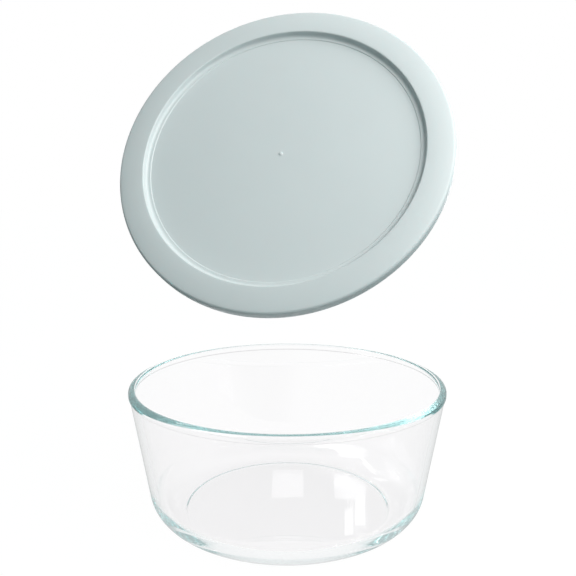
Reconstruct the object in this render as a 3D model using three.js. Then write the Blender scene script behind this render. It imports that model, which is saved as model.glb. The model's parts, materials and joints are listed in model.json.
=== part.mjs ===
// Round glass storage bowl with its soft-plastic lid, shown with the lid taken off.
// Two pieces: one pressed-glass bowl and one moulded lid. Millimetres, +Z up.
// The origin is the centre of the flat base that the bowl stands on.
import * as THREE from 'three';

// Bowl: driving dimensions
const RIM_RADIUS = 95;
const BOWL_HEIGHT = 82.1;
const WALL_THICKNESS = 3.9;
const WALL_LEAN = THREE.MathUtils.degToRad(9.7);
const BEAD_HEIGHT = 4.8;
const BEAD_OVERHANG = 0.7;
const BASE_CORNER_RADIUS = 20;
const FLOOR_CORNER_RADIUS = 18;
const FLOOR_THICKNESS = 4.9;

// Lid: driving dimensions
const SKIRT_CLEARANCE = 0.8;
const SEAT_CLEARANCE = 0.3;
const SKIRT_THICKNESS = 1.9;
const SKIRT_DROP = 4.9;
const SKIRT_EDGE_RADIUS = 0.6;
const BAND_THICKNESS = 2.4;
const BAND_WIDTH = 15.5;
const BAND_SLOPE_WIDTH = 7.5;
const BAND_SLOPE_DROP = 1.1;
const SHOULDER_RADIUS = 1.8;
const RECESS_DEPTH = 3.3;
const RECESS_WALL_RUN = 0.8;
const RECESS_EDGE_RADIUS = 0.8;
const RECESS_FILLET_RADIUS = 1.7;
const LEDGE_WIDTH = 0.7;
const LEDGE_STEP = 0.35;
const PANEL_THICKNESS = 1.8;
const RIB_CLEARANCE = 0.5;
const RIB_THICKNESS = 1.3;
const RIB_DROP = 3.4;
const GATE_RADIUS = 1.3;
const GATE_HEIGHT = 0.4;

// The lid's place: lifted clear of the rim and then carried round an axis in front of the bowl
const HOVER_GAP = 1.1;
const SWING_AXIS = new THREE.Vector3(0.9653, -0.2607, 0.0143).normalize();
const SWING_ANGLE = THREE.MathUtils.degToRad(60.3);
const SWING_PIVOT_FROM_RIM = new THREE.Vector3(-31.1, -111.9, 63.8);

// Smoothness of the round forms
const TURN_STEPS = 72;
const CORNER_STEPS = 9;
const BEAD_STEPS = 10;
const SMALL_STEPS = 3;

const QUARTER_TURN = Math.PI / 2;
const LEAN_COSINE = Math.cos(WALL_LEAN);
const LEAN_SLOPE = Math.tan(WALL_LEAN);

const glass = new THREE.MeshStandardMaterial({
  color: 0xd6ece8,
  roughness: 0.03,
  metalness: 0,
  transparent: true,
  opacity: 0.35,
});
const softPlastic = new THREE.MeshStandardMaterial({
  color: 0xc3d0d0,
  roughness: 0.5,
  metalness: 0,
});

// Points along an elliptical arc, from one angle to another
function arc(centreRadius, centreHeight, halfWidth, halfHeight, from, to, steps) {
  const points = [];
  for (let step = 0; step <= steps; step += 1) {
    const angle = from + ((to - from) * step) / steps;
    points.push(new THREE.Vector2(
      centreRadius + halfWidth * Math.cos(angle),
      centreHeight + halfHeight * Math.sin(angle),
    ));
  }
  return points;
}

// A profile of radius and height, turned about the upright axis
function turned(profile) {
  const geometry = new THREE.LatheGeometry(profile, TURN_STEPS);
  geometry.rotateX(QUARTER_TURN);
  return geometry;
}

// The bowl's wall is a cone: its radius grows with height by the same slope inside and out
const wallTopHeight = BOWL_HEIGHT - BEAD_HEIGHT;
const wallTopRadius = RIM_RADIUS - BEAD_OVERHANG;
const outerWallRadius = (height) => wallTopRadius + (height - wallTopHeight) * LEAN_SLOPE;
const innerWallRadius = (height) => outerWallRadius(height) - WALL_THICKNESS / LEAN_COSINE;

function bowlProfile() {
  const baseCentre = outerWallRadius(BASE_CORNER_RADIUS) - BASE_CORNER_RADIUS / LEAN_COSINE;
  const floorArcHeight = FLOOR_THICKNESS + FLOOR_CORNER_RADIUS;
  const floorCentre = innerWallRadius(floorArcHeight) - FLOOR_CORNER_RADIUS / LEAN_COSINE;
  const beadMiddle = BOWL_HEIGHT - BEAD_HEIGHT / 2;
  const beadInside = innerWallRadius(beadMiddle);
  const beadHalfWidth = (RIM_RADIUS - beadInside) / 2;
  const beadStart = -QUARTER_TURN / 2;

  const baseCorner = arc(baseCentre, BASE_CORNER_RADIUS, BASE_CORNER_RADIUS, BASE_CORNER_RADIUS,
    -QUARTER_TURN, -WALL_LEAN, CORNER_STEPS);
  const bead = arc(RIM_RADIUS - beadHalfWidth, beadMiddle, beadHalfWidth, BEAD_HEIGHT / 2,
    beadStart, Math.PI, BEAD_STEPS);
  const floorCorner = arc(floorCentre, floorArcHeight, FLOOR_CORNER_RADIUS, FLOOR_CORNER_RADIUS,
    -WALL_LEAN, -QUARTER_TURN, CORNER_STEPS);
  return [
    new THREE.Vector2(0, 0),
    ...baseCorner,
    new THREE.Vector2(wallTopRadius, wallTopHeight),
    ...bead,
    ...floorCorner,
    new THREE.Vector2(0, FLOOR_THICKNESS),
  ];
}

// The lid's heights are counted from the lower edge of its skirt
const lidRadius = RIM_RADIUS + SKIRT_CLEARANCE + SKIRT_THICKNESS;
const undersideHeight = SKIRT_DROP + SEAT_CLEARANCE;
const bandHeight = undersideHeight + BAND_THICKNESS;
const ledgeHeight = bandHeight - RECESS_DEPTH;
const panelHeight = ledgeHeight - LEDGE_STEP;

function lidProfile() {
  const skirtInside = lidRadius - SKIRT_THICKNESS;
  const recessRadius = lidRadius - BAND_WIDTH;
  const slopeStart = lidRadius - BAND_SLOPE_WIDTH;
  const shoulderTop = bandHeight - BAND_SLOPE_DROP;
  const ribRadius = innerWallRadius(BOWL_HEIGHT - RIB_DROP) - RIB_CLEARANCE;
  const ribInside = ribRadius - RIB_THICKNESS;
  const ribBottom = undersideHeight - RIB_DROP;
  const filletCentre = recessRadius - RECESS_WALL_RUN - RECESS_FILLET_RADIUS;
  const ledgeEdge = filletCentre - LEDGE_WIDTH;
  const panelEdge = ledgeEdge - LEDGE_STEP;
  const wallOutside = recessRadius + PANEL_THICKNESS / 2;
  const panelUnderside = panelHeight - PANEL_THICKNESS;

  const gate = arc(0, panelHeight, GATE_RADIUS, GATE_HEIGHT, QUARTER_TURN, 0, SMALL_STEPS);
  const fillet = arc(filletCentre, ledgeHeight + RECESS_FILLET_RADIUS,
    RECESS_FILLET_RADIUS, RECESS_FILLET_RADIUS, -QUARTER_TURN, 0, SMALL_STEPS);
  const recessEdge = arc(recessRadius + RECESS_EDGE_RADIUS, bandHeight - RECESS_EDGE_RADIUS,
    RECESS_EDGE_RADIUS, RECESS_EDGE_RADIUS, Math.PI, QUARTER_TURN, SMALL_STEPS);
  const shoulder = arc(lidRadius - SHOULDER_RADIUS, shoulderTop - SHOULDER_RADIUS,
    SHOULDER_RADIUS, SHOULDER_RADIUS, QUARTER_TURN, 0, SMALL_STEPS);
  const skirtEdge = arc(lidRadius - SKIRT_EDGE_RADIUS, SKIRT_EDGE_RADIUS,
    SKIRT_EDGE_RADIUS, SKIRT_EDGE_RADIUS, 0, -QUARTER_TURN, SMALL_STEPS);
  const topSide = [
    ...gate,
    new THREE.Vector2(panelEdge, panelHeight),
    new THREE.Vector2(ledgeEdge, ledgeHeight),
    ...fillet,
    ...recessEdge,
    new THREE.Vector2(slopeStart, bandHeight),
    ...shoulder,
    ...skirtEdge,
  ];
  const underside = [
    new THREE.Vector2(skirtInside, 0),
    new THREE.Vector2(skirtInside, undersideHeight),
    new THREE.Vector2(ribRadius, undersideHeight),
    new THREE.Vector2(ribRadius, ribBottom),
    new THREE.Vector2(ribInside, ribBottom),
    new THREE.Vector2(ribInside, undersideHeight),
    new THREE.Vector2(wallOutside, undersideHeight),
    new THREE.Vector2(filletCentre + PANEL_THICKNESS, panelUnderside),
    new THREE.Vector2(0, panelUnderside),
  ];
  return [...topSide, ...underside].reverse();
}

const bowl = new THREE.Mesh(turned(bowlProfile()), glass);
bowl.name = 'glass_bowl';

const lid = new THREE.Mesh(turned(lidProfile()), softPlastic);
lid.name = 'plastic_lid';

// The lid hovers level, just above the rim; the swing carries it from there to where it is shown
const rimTop = new THREE.Vector3(0, 0, BOWL_HEIGHT);
const hover = new THREE.Vector3(0, 0, BOWL_HEIGHT + HOVER_GAP);
const pivot = rimTop.clone().add(SWING_PIVOT_FROM_RIM);
const swing = new THREE.Group();
swing.position.copy(pivot);
swing.quaternion.setFromAxisAngle(SWING_AXIS, SWING_ANGLE);
lid.position.subVectors(hover, pivot);
swing.add(lid);

const liddedBowl = new THREE.Group();
liddedBowl.add(bowl, swing);

export default liddedBowl;
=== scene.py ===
# %% [markdown]
# A lidded glass bowl, built up in Blender.
#
# The real object is a pressed-glass storage bowl with a soft-plastic lid. Both pieces are
# turned shapes: a section drawn once and swept round an upright axis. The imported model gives
# the frame, so each piece made here stands exactly where its plain solid stands.

# %% Load the frame
import json
import math

import bmesh
import bpy
from mathutils import Matrix, Vector


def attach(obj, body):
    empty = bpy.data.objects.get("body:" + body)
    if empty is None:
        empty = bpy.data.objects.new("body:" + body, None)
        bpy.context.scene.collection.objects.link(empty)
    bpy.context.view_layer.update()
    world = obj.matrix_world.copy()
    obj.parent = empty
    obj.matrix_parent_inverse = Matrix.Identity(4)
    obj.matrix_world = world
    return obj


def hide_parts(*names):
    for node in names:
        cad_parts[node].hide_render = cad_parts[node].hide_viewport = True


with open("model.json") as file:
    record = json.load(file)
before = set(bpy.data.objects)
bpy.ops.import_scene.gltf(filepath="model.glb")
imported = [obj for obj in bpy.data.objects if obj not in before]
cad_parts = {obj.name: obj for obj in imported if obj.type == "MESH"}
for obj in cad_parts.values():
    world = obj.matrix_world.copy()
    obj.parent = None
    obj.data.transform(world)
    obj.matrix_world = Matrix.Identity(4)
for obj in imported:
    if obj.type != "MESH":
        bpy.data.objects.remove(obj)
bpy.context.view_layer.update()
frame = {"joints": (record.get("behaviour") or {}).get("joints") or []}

# %% [markdown]
# The camera comes first, because it says which details will be seen. The photograph was
# taken from close by, a little above the rim. The ring round the bowl's floor looks much
# rounder than the rim, and only a near camera sees so much more steeply down on the floor
# than on the rim, so the distance is small and the field of view is wide.

# %% Camera
MM = 0.001
CAMERA_DISTANCE = 435 * MM
CAMERA_ELEVATION = math.radians(9.34)
CAMERA_LENS = 45.53
CAMERA_SENSOR = 36
CAMERA_TARGET = Vector((0.4, 0, 138.87)) * MM

camera_data = bpy.data.cameras.new("studio_camera")
camera_data.lens = CAMERA_LENS
camera_data.sensor_width = CAMERA_SENSOR
camera_data.sensor_fit = "HORIZONTAL"
camera = bpy.data.objects.new("studio_camera", camera_data)
bpy.context.scene.collection.objects.link(camera)
camera_back = Vector((0, -math.cos(CAMERA_ELEVATION), math.sin(CAMERA_ELEVATION)))
camera.location = CAMERA_TARGET + camera_back * CAMERA_DISTANCE
camera.rotation_euler = (-camera_back).to_track_quat("-Z", "Y").to_euler()
bpy.context.scene.camera = camera
print("camera stands", round(CAMERA_DISTANCE, 2), "m from the object")

# %% [markdown]
# Both pieces are made in the same three moves. A section is drawn as a wire of corners, each
# corner is rounded by a vertex bevel, and the wire is spun a full turn. This is quicker and
# truer than shaping a cylinder, because a lathe or a press mould makes the real thing the
# same way. Long straight stretches are cut into short ones, so that smooth shading has no
# wide faces to bend across.

# %% Section helpers
SPIN_STEPS = 192
LONGEST_STRETCH = 2.6 * MM
MERGE_DISTANCE = 0.01 * MM
ROUND_PROFILE = 0.5


def section_point(radius, height):
    """A place on the section, from millimetres."""
    return Vector((radius, 0, height)) * MM


def rounding_reach(corner, radius):
    """How far along its two edges a corner of this radius starts to bend."""
    before, after = [edge.other_vert(corner).co - corner.co for edge in corner.link_edges]
    return radius / math.tan(before.angle(after) / 2)


def draw_section(corners):
    """A wire through (radius, height, rounding, steps) corners, in millimetres."""
    section = bmesh.new()
    first_radius, first_height = corners[0][:2]
    drawn = bmesh.ops.create_vert(section, co=section_point(first_radius, first_height))
    pen = drawn["vert"][0]
    rounded = []
    for radius, height, rounding, steps in corners[1:]:
        drawn = bmesh.ops.extrude_vert_indiv(section, verts=[pen])
        pen = drawn["verts"][0]
        pen.co = section_point(radius, height)
        if rounding:
            rounded.append((pen, rounding * MM, steps))
    reaches = [(corner, rounding_reach(corner, radius), steps) for corner, radius, steps in rounded]
    for corner, reach, steps in reaches:
        bmesh.ops.bevel(
            section, geom=[corner], affect="VERTICES", offset_type="OFFSET", offset=reach,
            segments=steps, profile=ROUND_PROFILE, material=-1,
        )
    return section


def cut_long_stretches(section):
    """Halve every edge of the wire until none is longer than the longest stretch."""
    long_edges = [edge for edge in section.edges if edge.calc_length() > LONGEST_STRETCH]
    while long_edges:
        bmesh.ops.subdivide_edges(section, edges=long_edges, cuts=1)
        long_edges = [edge for edge in section.edges if edge.calc_length() > LONGEST_STRETCH]


def turn_section(section):
    """Spin the wire a full turn about the upright axis and close its poles."""
    bmesh.ops.spin(
        section, geom=section.verts[:] + section.edges[:], cent=(0, 0, 0), axis=(0, 0, 1),
        angle=math.tau, steps=SPIN_STEPS, use_merge=True,
    )
    bmesh.ops.remove_doubles(section, verts=section.verts, dist=MERGE_DISTANCE)
    bmesh.ops.recalc_face_normals(section, faces=section.faces)


def finish_piece(name, shape, material):
    """Turn a bmesh into a smooth-shaded object at the origin."""
    for face in shape.faces:
        face.smooth = True
    mesh = bpy.data.meshes.new(name)
    shape.to_mesh(mesh)
    shape.free()
    mesh.materials.append(material)
    piece = bpy.data.objects.new(name, mesh)
    bpy.context.scene.collection.objects.link(piece)
    print(name, "has", len(mesh.polygons), "faces")
    return piece


# %% [markdown]
# Clear pressed glass is nearly colourless in a thin wall. Its green-blue shows only where
# light travels far inside it: along the rim bead and round the base corner. A tint in the
# surface colour would show everywhere, so the colour is put in the volume instead, and the
# length of each ray's path through the glass brings it out where it belongs. A pressed
# surface also has a slow ripple, much too low to see as a shape, that bends what is behind it.

# %% Glass finish
GLASS_IOR = 1.47
GLASS_ROUGHNESS = 0
GLASS_SURFACE_COLOUR = (0.99, 0.98, 0.984, 1)
GLASS_DEPTH_COLOUR = (0.36, 0.68, 0.68, 1)
GLASS_DEPTH_DENSITY = 4.3
RIPPLE_SCALE = 38
RIPPLE_DETAIL = 1
RIPPLE_STRENGTH = 0.06
RIPPLE_HEIGHT = 0.6 * MM


def fresh_material(name):
    """A node material with nothing but its output and a principled shader."""
    material = bpy.data.materials.new(name)
    material.use_nodes = True
    tree = material.node_tree
    return material, tree, tree.nodes["Principled BSDF"]


clear_glass, glass_tree, glass_shader = fresh_material("clear_glass")
glass_shader.inputs["Base Color"].default_value = GLASS_SURFACE_COLOUR
glass_shader.inputs["Roughness"].default_value = GLASS_ROUGHNESS
glass_shader.inputs["IOR"].default_value = GLASS_IOR
glass_shader.inputs["Transmission Weight"].default_value = 1

glass_depth = glass_tree.nodes.new("ShaderNodeVolumeAbsorption")
glass_depth.inputs["Color"].default_value = GLASS_DEPTH_COLOUR
glass_depth.inputs["Density"].default_value = GLASS_DEPTH_DENSITY
glass_output = glass_tree.nodes["Material Output"]
glass_tree.links.new(glass_depth.outputs["Volume"], glass_output.inputs["Volume"])

glass_place = glass_tree.nodes.new("ShaderNodeTexCoord")
ripple = glass_tree.nodes.new("ShaderNodeTexNoise")
ripple.inputs["Scale"].default_value = RIPPLE_SCALE
ripple.inputs["Detail"].default_value = RIPPLE_DETAIL
ripple_bump = glass_tree.nodes.new("ShaderNodeBump")
ripple_bump.inputs["Strength"].default_value = RIPPLE_STRENGTH
ripple_bump.inputs["Distance"].default_value = RIPPLE_HEIGHT
glass_tree.links.new(glass_place.outputs["Object"], ripple.inputs["Vector"])
glass_tree.links.new(ripple.outputs["Fac"], ripple_bump.inputs["Height"])
glass_tree.links.new(ripple_bump.outputs["Normal"], glass_shader.inputs["Normal"])
print("glass bends light by", GLASS_IOR)

# %% [markdown]
# The bowl's section runs from the middle of the base, out to the edge that it stands on, round
# a large corner, up the flared wall, over the rolled rim bead and back down the inside to the
# floor. The wall is a cone inside and out, so one slope gives both of its faces. The base is
# pressed up by less than half a millimetre inside its standing edge. The step is too low to see
# as a shape, but glass bends light there, so it draws the thin coloured ring round the floor.

# %% Bowl section
RIM_RADIUS = 95
BOWL_HEIGHT = 82.1
WALL_THICKNESS = 3.9
WALL_LEAN = math.radians(9.7)
BEAD_HEIGHT = 4.8
BEAD_OVERHANG = 0.7
BEAD_OUTER_ROUNDING = 2.4
BEAD_INNER_ROUNDING = 1.4
BEAD_NECK_ROUNDING = 0.8
BASE_CORNER_RADIUS = 20
FLOOR_CORNER_RADIUS = 18
FLOOR_THICKNESS = 4.9
BASE_RECESS_DEPTH = 0.4
BASE_RECESS_RADIUS = 62
STANDING_EDGE_RADIUS = 63.2
STANDING_EDGE_ROUNDING = 0.3
LARGE_STEPS = 40
BEAD_STEPS = 14
SMALL_STEPS = 6

wall_top_height = BOWL_HEIGHT - BEAD_HEIGHT
wall_top_radius = RIM_RADIUS - BEAD_OVERHANG


def outer_wall(height):
    """Radius of the wall's outer face at a height."""
    return wall_top_radius + (height - wall_top_height) * math.tan(WALL_LEAN)


def inner_wall(height):
    """Radius of the wall's inner face at a height."""
    return outer_wall(height) - WALL_THICKNESS / math.cos(WALL_LEAN)


bowl_corners = [
    (0, BASE_RECESS_DEPTH, 0, 0),
    (BASE_RECESS_RADIUS, BASE_RECESS_DEPTH, STANDING_EDGE_ROUNDING, SMALL_STEPS),
    (STANDING_EDGE_RADIUS, 0, STANDING_EDGE_ROUNDING, SMALL_STEPS),
    (outer_wall(0), 0, BASE_CORNER_RADIUS, LARGE_STEPS),
    (wall_top_radius, wall_top_height, BEAD_NECK_ROUNDING, SMALL_STEPS),
    (RIM_RADIUS, wall_top_height + BEAD_OVERHANG, BEAD_NECK_ROUNDING, SMALL_STEPS),
    (RIM_RADIUS, BOWL_HEIGHT, BEAD_OUTER_ROUNDING, BEAD_STEPS),
    (inner_wall(BOWL_HEIGHT), BOWL_HEIGHT, BEAD_INNER_ROUNDING, BEAD_STEPS),
    (inner_wall(FLOOR_THICKNESS), FLOOR_THICKNESS, FLOOR_CORNER_RADIUS, LARGE_STEPS),
    (0, FLOOR_THICKNESS, 0, 0),
]
bowl_shape = draw_section(bowl_corners)
cut_long_stretches(bowl_shape)
print("bowl section has", len(bowl_shape.verts), "points")

# %% [markdown]
# The spin turns the section into the bowl, which takes the glass finish. It is then hung on the
# frame's bowl body, and the plain solid that it stands in for is hidden.

# %% Bowl
turn_section(bowl_shape)
bowl = finish_piece("bowl_glass", bowl_shape, clear_glass)
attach(bowl, "bowl")
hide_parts("glass_bowl")

# %% [markdown]
# The lid is soft polyethylene, moulded in one shot: pale grey-green, with a satin skin and a
# little light that soaks in and comes out again beside where it fell. The skin gets a fine
# grain as bump, and its colour and gloss wander slightly, as moulded plastic does.

# %% Plastic finish
PLASTIC_LIGHT = (0.61, 0.665, 0.67, 1)
PLASTIC_DARK = (0.585, 0.64, 0.645, 1)
PLASTIC_SOAK = 0.12
PLASTIC_SOAK_DEPTH = (1.2 * MM, 2.2 * MM, 2.2 * MM)
CLOUD_SCALE = 26
CLOUD_DETAIL = 3
GRAIN_SCALE = 2600
GRAIN_DETAIL = 2
GRAIN_STRENGTH = 0.12
GRAIN_HEIGHT = 0.05 * MM
ROUGHNESS_LOW = 0.4
ROUGHNESS_HIGH = 0.48

soft_plastic, plastic_tree, plastic_shader = fresh_material("soft_plastic")
plastic_shader.inputs["Subsurface Weight"].default_value = PLASTIC_SOAK
plastic_shader.inputs["Subsurface Radius"].default_value = PLASTIC_SOAK_DEPTH
plastic_shader.inputs["Subsurface Scale"].default_value = 1

plastic_place = plastic_tree.nodes.new("ShaderNodeTexCoord")
cloud = plastic_tree.nodes.new("ShaderNodeTexNoise")
cloud.inputs["Scale"].default_value = CLOUD_SCALE
cloud.inputs["Detail"].default_value = CLOUD_DETAIL
tone = plastic_tree.nodes.new("ShaderNodeMix")
tone.data_type = "RGBA"
tone.inputs["A"].default_value = PLASTIC_DARK
tone.inputs["B"].default_value = PLASTIC_LIGHT
tone_colour = next(socket for socket in tone.outputs if socket.type == "RGBA")
roughness = plastic_tree.nodes.new("ShaderNodeMapRange")
roughness.inputs["To Min"].default_value = ROUGHNESS_LOW
roughness.inputs["To Max"].default_value = ROUGHNESS_HIGH
grain = plastic_tree.nodes.new("ShaderNodeTexNoise")
grain.inputs["Scale"].default_value = GRAIN_SCALE
grain.inputs["Detail"].default_value = GRAIN_DETAIL
grain_bump = plastic_tree.nodes.new("ShaderNodeBump")
grain_bump.inputs["Strength"].default_value = GRAIN_STRENGTH
grain_bump.inputs["Distance"].default_value = GRAIN_HEIGHT

plastic_tree.links.new(plastic_place.outputs["Object"], cloud.inputs["Vector"])
plastic_tree.links.new(plastic_place.outputs["Object"], grain.inputs["Vector"])
plastic_tree.links.new(cloud.outputs["Fac"], tone.inputs["Factor"])
plastic_tree.links.new(tone_colour, plastic_shader.inputs["Base Color"])
plastic_tree.links.new(cloud.outputs["Fac"], roughness.inputs["Value"])
plastic_tree.links.new(roughness.outputs["Result"], plastic_shader.inputs["Roughness"])
plastic_tree.links.new(grain.outputs["Fac"], grain_bump.inputs["Height"])
plastic_tree.links.new(grain_bump.outputs["Normal"], plastic_shader.inputs["Normal"])
print("plastic roughness runs from", ROUGHNESS_LOW, "to", ROUGHNESS_HIGH)

# %% [markdown]
# The lid's section is counted from the lower edge of its skirt. Its top starts at the small
# gate mark in the middle, runs out along the panel, up a tiny step to a ledge, up the recess
# wall to the band, and over a soft shoulder to the skirt. Underneath there is a groove for
# the rim, between the skirt and a sealing rib.

# %% Lid section
SKIRT_CLEARANCE = 0.8
SEAT_CLEARANCE = 0.3
SKIRT_THICKNESS = 1.9
SKIRT_DROP = 4.9
SKIRT_EDGE_ROUNDING = 0.6
BAND_THICKNESS = 2.4
BAND_WIDTH = 15.5
BAND_SLOPE_WIDTH = 7.5
BAND_SLOPE_DROP = 1.1
BAND_CREASE_ROUNDING = 65
SHOULDER_ROUNDING = 1.8
RECESS_DEPTH = 3.3
RECESS_WALL_RUN = 0.8
RECESS_EDGE_ROUNDING = 0.8
RECESS_FILLET_ROUNDING = 1.7
LEDGE_WIDTH = 0.7
LEDGE_STEP = 0.35
LEDGE_ROUNDING = 0.2
PANEL_THICKNESS = 1.8
RIB_CLEARANCE = 0.5
RIB_THICKNESS = 1.3
RIB_DROP = 3.4
RIB_ROUNDING = 0.45
GATE_RADIUS = 1.3
GATE_HEIGHT = 0.4
GATE_ROUNDING = 0.25
LID_STEPS = 8

lid_radius = RIM_RADIUS + SKIRT_CLEARANCE + SKIRT_THICKNESS
underside = SKIRT_DROP + SEAT_CLEARANCE
band_top = underside + BAND_THICKNESS
ledge_top = band_top - RECESS_DEPTH
panel_top = ledge_top - LEDGE_STEP
panel_bottom = panel_top - PANEL_THICKNESS
recess_radius = lid_radius - BAND_WIDTH
recess_foot = recess_radius - RECESS_WALL_RUN
ledge_edge = recess_foot - RECESS_FILLET_ROUNDING - LEDGE_WIDTH
skirt_inside = lid_radius - SKIRT_THICKNESS
rib_outside = inner_wall(BOWL_HEIGHT - RIB_DROP) - RIB_CLEARANCE
rib_inside = rib_outside - RIB_THICKNESS
rib_bottom = underside - RIB_DROP

lid_corners = [
    (0, panel_top + GATE_HEIGHT, 0, 0),
    (GATE_RADIUS / 2, panel_top + GATE_HEIGHT, GATE_ROUNDING, LID_STEPS),
    (GATE_RADIUS, panel_top, GATE_ROUNDING, LID_STEPS),
    (ledge_edge - LEDGE_STEP, panel_top, LEDGE_ROUNDING, LID_STEPS),
    (ledge_edge, ledge_top, LEDGE_ROUNDING, LID_STEPS),
    (recess_foot, ledge_top, RECESS_FILLET_ROUNDING, LID_STEPS),
    (recess_radius, band_top, RECESS_EDGE_ROUNDING, LID_STEPS),
    (lid_radius - BAND_SLOPE_WIDTH, band_top, BAND_CREASE_ROUNDING, LID_STEPS),
    (lid_radius, band_top - BAND_SLOPE_DROP, SHOULDER_ROUNDING, LID_STEPS),
    (lid_radius, 0, SKIRT_EDGE_ROUNDING, LID_STEPS),
    (skirt_inside, 0, SKIRT_EDGE_ROUNDING, LID_STEPS),
    (skirt_inside, underside, SKIRT_EDGE_ROUNDING, LID_STEPS),
    (rib_outside, underside, RIB_ROUNDING, LID_STEPS),
    (rib_outside, rib_bottom, RIB_ROUNDING, LID_STEPS),
    (rib_inside, rib_bottom, RIB_ROUNDING, LID_STEPS),
    (rib_inside, underside, RIB_ROUNDING, LID_STEPS),
    (recess_radius + PANEL_THICKNESS / 2, underside, RIB_ROUNDING, LID_STEPS),
    (recess_foot, panel_bottom, RECESS_EDGE_ROUNDING, LID_STEPS),
    (0, panel_bottom, 0, 0),
]
lid_shape = draw_section(lid_corners)
cut_long_stretches(lid_shape)
print("lid section has", len(lid_shape.verts), "points")

# %% [markdown]
# The lid is turned on the bowl's own axis, lifted until it hovers level just above the rim,
# and then swung round the joint that the frame gives, by that joint's full range. So the lid
# lands where it is shown taken off, and the joint can carry it back to just above the rim.

# %% Lid
HOVER_GAP = 1.1

turn_section(lid_shape)
lid_hover = Vector((0, 0, BOWL_HEIGHT + HOVER_GAP)) * MM
bmesh.ops.translate(lid_shape, verts=lid_shape.verts, vec=lid_hover)
lid_swing = frame["joints"][0]
swing_angle = -math.radians(min(lid_swing["range_deg"]))
bmesh.ops.rotate(
    lid_shape, verts=lid_shape.verts, cent=Vector(lid_swing["pos_m"]),
    matrix=Matrix.Rotation(swing_angle, 3, Vector(lid_swing["axis"])),
)
lid = finish_piece("lid_plastic", lid_shape, soft_plastic)
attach(lid, "lid")
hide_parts("plastic_lid")

# %% [markdown]
# The studio is plain: a floor with air all round, and the camera sees both as white. The light
# that falls on the lid has to be dimmer than that, or its colour would render paler than it is
# written. The floor and the world can do both at once, because a node tells them what kind of
# ray is asking.

# %% Ray helpers
WHITE = (1, 1, 1, 1)


def combine(tree, operation, first, second):
    """One maths node of two sockets."""
    maths = tree.nodes.new("ShaderNodeMath")
    maths.operation = operation
    tree.links.new(first, maths.inputs[0])
    tree.links.new(second, maths.inputs[1])
    return maths.outputs[0]


def scale_value(tree, value, factor):
    """A socket's value times a fixed factor."""
    scaled = tree.nodes.new("ShaderNodeMath")
    scaled.operation = "MULTIPLY"
    scaled.inputs[1].default_value = factor
    tree.links.new(value, scaled.inputs[0])
    return scaled.outputs[0]


def ray_kinds(tree):
    """The sockets for camera rays, mirrored rays and rays that went through glass."""
    rays = tree.nodes.new("ShaderNodeLightPath").outputs
    return rays["Is Camera Ray"], rays["Is Glossy Ray"], rays["Is Transmission Ray"]


def seeing_rays(tree):
    """1 for rays that see, whether plainly, in a mirror or through glass, and 0 for others."""
    plain, glossy, through = ray_kinds(tree)
    return combine(tree, "MAXIMUM", plain, combine(tree, "MAXIMUM", glossy, through))


def mirror_rays(tree):
    """1 for rays that were only mirrored, 0 for those that went through glass."""
    glossy, through = ray_kinds(tree)[1:]
    mirrored = combine(tree, "SUBTRACT", glossy, through)
    mirrored.node.use_clamp = True
    return mirrored


def mix_shaders(tree, factor, first, second):
    """The first shader where the factor is 0 and the second where it is 1."""
    mix = tree.nodes.new("ShaderNodeMixShader")
    for source, socket in zip((factor, first, second), mix.inputs):
        tree.links.new(source, socket)
    return mix.outputs["Shader"]


# %% [markdown]
# The floor glows white for every ray that sees it, apart from a small share of real light,
# which keeps the object's shadow. Where the glass only mirrors the floor, it is darker, so that
# the reflection doesn't wash out the glass. The floor's own colour is dark, because light that
# it throws up would fill the shade under the lid's skirt. It lies a hair below the base, so that
# the two faces never coincide.

# %% Floor
FLOOR_HALF_SIZE = 3
FLOOR_GAP = 0.3 * MM
FLOOR_COLOUR = (0.16, 0.22, 0.22, 1)
FLOOR_WHITE = 1.056
FLOOR_SHADOW_SHARE = 0.06
FLOOR_MIRRORED = 0.6

floor_finish, floor_tree, floor_shader = fresh_material("studio_floor")
floor_shader.inputs["Base Color"].default_value = FLOOR_COLOUR
floor_shader.inputs["Roughness"].default_value = 1
floor_white = floor_tree.nodes.new("ShaderNodeEmission")
floor_white.inputs["Color"].default_value = WHITE
floor_strength = floor_tree.nodes.new("ShaderNodeMapRange")
floor_strength.inputs["To Min"].default_value = FLOOR_WHITE
floor_strength.inputs["To Max"].default_value = FLOOR_MIRRORED
floor_tree.links.new(mirror_rays(floor_tree), floor_strength.inputs["Value"])
floor_tree.links.new(floor_strength.outputs["Result"], floor_white.inputs["Strength"])

floor_seen = scale_value(floor_tree, seeing_rays(floor_tree), 1 - FLOOR_SHADOW_SHARE)
floor_surface = mix_shaders(
    floor_tree, floor_seen, floor_shader.outputs["BSDF"], floor_white.outputs["Emission"],
)
floor_output = floor_tree.nodes["Material Output"]
floor_tree.links.new(floor_surface, floor_output.inputs["Surface"])

floor_shape = bmesh.new()
bmesh.ops.create_grid(floor_shape, x_segments=1, y_segments=1, size=FLOOR_HALF_SIZE)
bmesh.ops.translate(floor_shape, verts=floor_shape.verts, vec=(0, 0, -FLOOR_GAP))
floor = finish_piece("studio_floor", floor_shape, floor_finish)

# %% [markdown]
# Clear glass is drawn by what it bends into view. With pure white all round it would vanish, so
# the world has some soft round patches that look darker through the glass: behind the bowl, in
# front of it and at the right front. They give the glass its greys and its dark lines. The
# dimmer glow that falls on the lid has patches too. It is weak from the left, where the lid is
# in shade, and strong from behind, where it lights the lid's underside.

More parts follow.
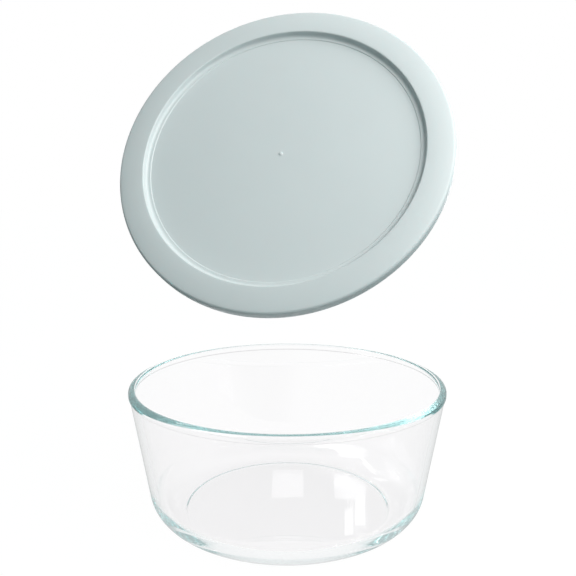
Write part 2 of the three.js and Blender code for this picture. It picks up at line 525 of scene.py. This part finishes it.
# %% World patches
SEEN_PATCHES = [
    {"towards": (0, 1, 0.55), "edge_angle": 40, "core_angle": 15, "core_tone": 0.7},
    {"towards": (0.6, -0.6, 0.6), "edge_angle": 40, "core_angle": 20, "core_tone": 0.4},
    {"towards": (0.3, -1, 0.4), "edge_angle": 35, "core_angle": 15, "core_tone": 0.6},
]
GLOW_PATCHES = [
    {"towards": (-0.9, 0.3, 0), "edge_angle": 100, "core_angle": 40, "core_tone": 0.1},
    {"towards": (0.5, 0.85, 0.05), "edge_angle": 60, "core_angle": 20, "core_tone": 3},
]

world = bpy.data.worlds.new("studio_air")
world.use_nodes = True
bpy.context.scene.world = world
world_tree = world.node_tree
direction = world_tree.nodes.new("ShaderNodeTexCoord")


def patch_tone(towards, edge_angle, core_angle, core_tone):
    """1 outside a round patch of the world, blending to another tone at its core."""
    nearness = world_tree.nodes.new("ShaderNodeVectorMath")
    nearness.operation = "DOT_PRODUCT"
    nearness.inputs[1].default_value = Vector(towards).normalized()
    world_tree.links.new(direction.outputs["Generated"], nearness.inputs[0])
    blend = world_tree.nodes.new("ShaderNodeMapRange")
    blend.interpolation_type = "SMOOTHSTEP"
    blend.inputs["From Min"].default_value = math.cos(math.radians(edge_angle))
    blend.inputs["From Max"].default_value = math.cos(math.radians(core_angle))
    blend.inputs["To Min"].default_value = 1
    blend.inputs["To Max"].default_value = core_tone
    world_tree.links.new(nearness.outputs["Value"], blend.inputs["Value"])
    return blend.outputs["Result"]


def all_patches(patches):
    """The tones of several patches, multiplied together."""
    product = patch_tone(**patches[0])
    for patch in patches[1:]:
        product = combine(world_tree, "MULTIPLY", product, patch_tone(**patch))
    return product


seen_tone = all_patches(SEEN_PATCHES)
glow_tone = all_patches(GLOW_PATCHES)
print("world has", len(SEEN_PATCHES), "seen patches and", len(GLOW_PATCHES), "in its glow")

# %% [markdown]
# The world is two lights in one. Rays that see get white, and only those that went through
# glass meet the dark patches: the camera and plain mirrors don't. All other rays get the glow.

# %% World
WORLD_LIGHT = 0.32
WORLD_FILL_COLOUR = (0.76, 1, 1.02, 1)

world_glow = world_tree.nodes["Background"]
world_glow.inputs["Color"].default_value = WORLD_FILL_COLOUR
glow_strength = scale_value(world_tree, glow_tone, WORLD_LIGHT)
world_tree.links.new(glow_strength, world_glow.inputs["Strength"])

camera_rays = ray_kinds(world_tree)[0]
plainly_seen = combine(world_tree, "MAXIMUM", mirror_rays(world_tree), camera_rays)
white_strength = combine(world_tree, "MAXIMUM", seen_tone, plainly_seen)
world_white = world_tree.nodes.new("ShaderNodeBackground")
world_white.inputs["Color"].default_value = WHITE
world_tree.links.new(white_strength, world_white.inputs["Strength"])

world_seen = seeing_rays(world_tree)
world_surface = mix_shaders(
    world_tree, world_seen, world_glow.outputs["Background"], world_white.outputs["Background"],
)
world_output = world_tree.nodes["World Output"]
world_tree.links.new(world_surface, world_output.inputs["Surface"])
print("world lights the pieces at", WORLD_LIGHT)

# %% [markdown]
# The lid and the glass are lit apart, as a studio does it, because glass shows the shape of
# every lamp and plastic does not. A broad lamp at the right shapes the lid, and a low one behind
# fills its underside. The glass mirrors a window at the left with a narrow pane beyond it, a
# lamp at the left front that makes the rim glow, and small panes far behind, which its flat
# floor shows as pale patches. Light linking keeps each lamp to its own piece. Places and sizes
# are in metres, counted from a point between the bowl and the lid.

# %% Lamps
LAMP_TARGET = Vector((0, -20, 150)) * MM
DAYLIGHT = (1, 1, 1)
LID_LAMP_COLOUR = (1, 0.975, 0.965)
SIDEWAYS = (1, 0, 0)
LID_LAMP = {
    "place": (0.41, -0.35, 0.54), "along": (0.565, 0.825, 0), "size": (0.8, 0.7), "power": 8.35,
}
FILL_LAMP = {
    "place": (0.2, 1, 0.02), "along": SIDEWAYS, "size": (0.9, 0.3), "power": 4.5,
}
GLASS_LAMPS = {
    "side_window": {
        "place": (-0.78, -0.2, 0.58), "along": (0.25, -0.97, 0), "size": (0.45, 0.8), "power": 2.8,
    },
    "upper_pane": {
        "place": (-0.54, 0.5, 0.72), "along": (0.415, 0.904, 0.108), "size": (0.7, 0.05), "power": 0.5,
    },
    "rim_lamp": {
        "place": (-0.8, -0.67, 0.6), "along": (0.64, -0.77, 0), "size": (0.7, 0.45), "power": 5,
    },
    "middle_pane": {
        "place": (0, 0.96, 0.257), "along": SIDEWAYS, "size": (0.069, 0.076), "power": 0.0074,
    },
    "right_pane": {
        "place": (0.146, 0.96, 0.267), "along": SIDEWAYS, "size": (0.08, 0.06), "power": 0.0075,
    },
    "right_strip": {
        "place": (0.172, 0.96, 0.327), "along": SIDEWAYS, "size": (0.026, 0.053), "power": 0.0032,
    },
    "middle_strip": {
        "place": (0.143, 0.96, 0.353), "along": SIDEWAYS, "size": (0.022, 0.053), "power": 0.0031,
    },
}


def studio_lamp(name, colour, lit_pieces, place, along, size, power):
    """A rectangular soft lamp that lights only the pieces it is linked to."""
    lamp_data = bpy.data.lights.new(name, "AREA")
    lamp_data.shape = "RECTANGLE"
    lamp_data.size, lamp_data.size_y = size
    lamp_data.energy = power
    lamp_data.color = colour
    lamp = bpy.data.objects.new(name, lamp_data)
    bpy.context.scene.collection.objects.link(lamp)
    outwards = Vector(place).normalized()
    across = outwards.cross(Vector(along)).normalized()
    lamp.location = LAMP_TARGET + Vector(place)
    lamp.rotation_euler = Matrix((across.cross(outwards), across, outwards)).transposed().to_euler()
    lamp.visible_camera = False
    receivers = bpy.data.collections.new(name + "_lights")
    for piece in lit_pieces:
        receivers.objects.link(piece)
    lamp.light_linking.receiver_collection = receivers
    print(name, "gives", power, "W to", [piece.name for piece in lit_pieces])


studio_lamp("lid_lamp", LID_LAMP_COLOUR, [lid, floor], **LID_LAMP)
studio_lamp("fill_lamp", DAYLIGHT, [lid], **FILL_LAMP)
for lamp_name, glass_lamp in GLASS_LAMPS.items():
    studio_lamp(lamp_name, DAYLIGHT, [bowl], **glass_lamp)

# %% [markdown]
# The Standard view transform shows a colour about as it is written. Light that runs round
# inside the rim bead needs very many bounces, or the rim turns black.

# %% Picture settings
MOST_BOUNCES = 256

scene = bpy.context.scene
scene.view_settings.view_transform = "Standard"
scene.cycles.max_bounces = MOST_BOUNCES
scene.cycles.transmission_bounces = MOST_BOUNCES
scene.cycles.glossy_bounces = MOST_BOUNCES
print("light may bounce", MOST_BOUNCES, "times")
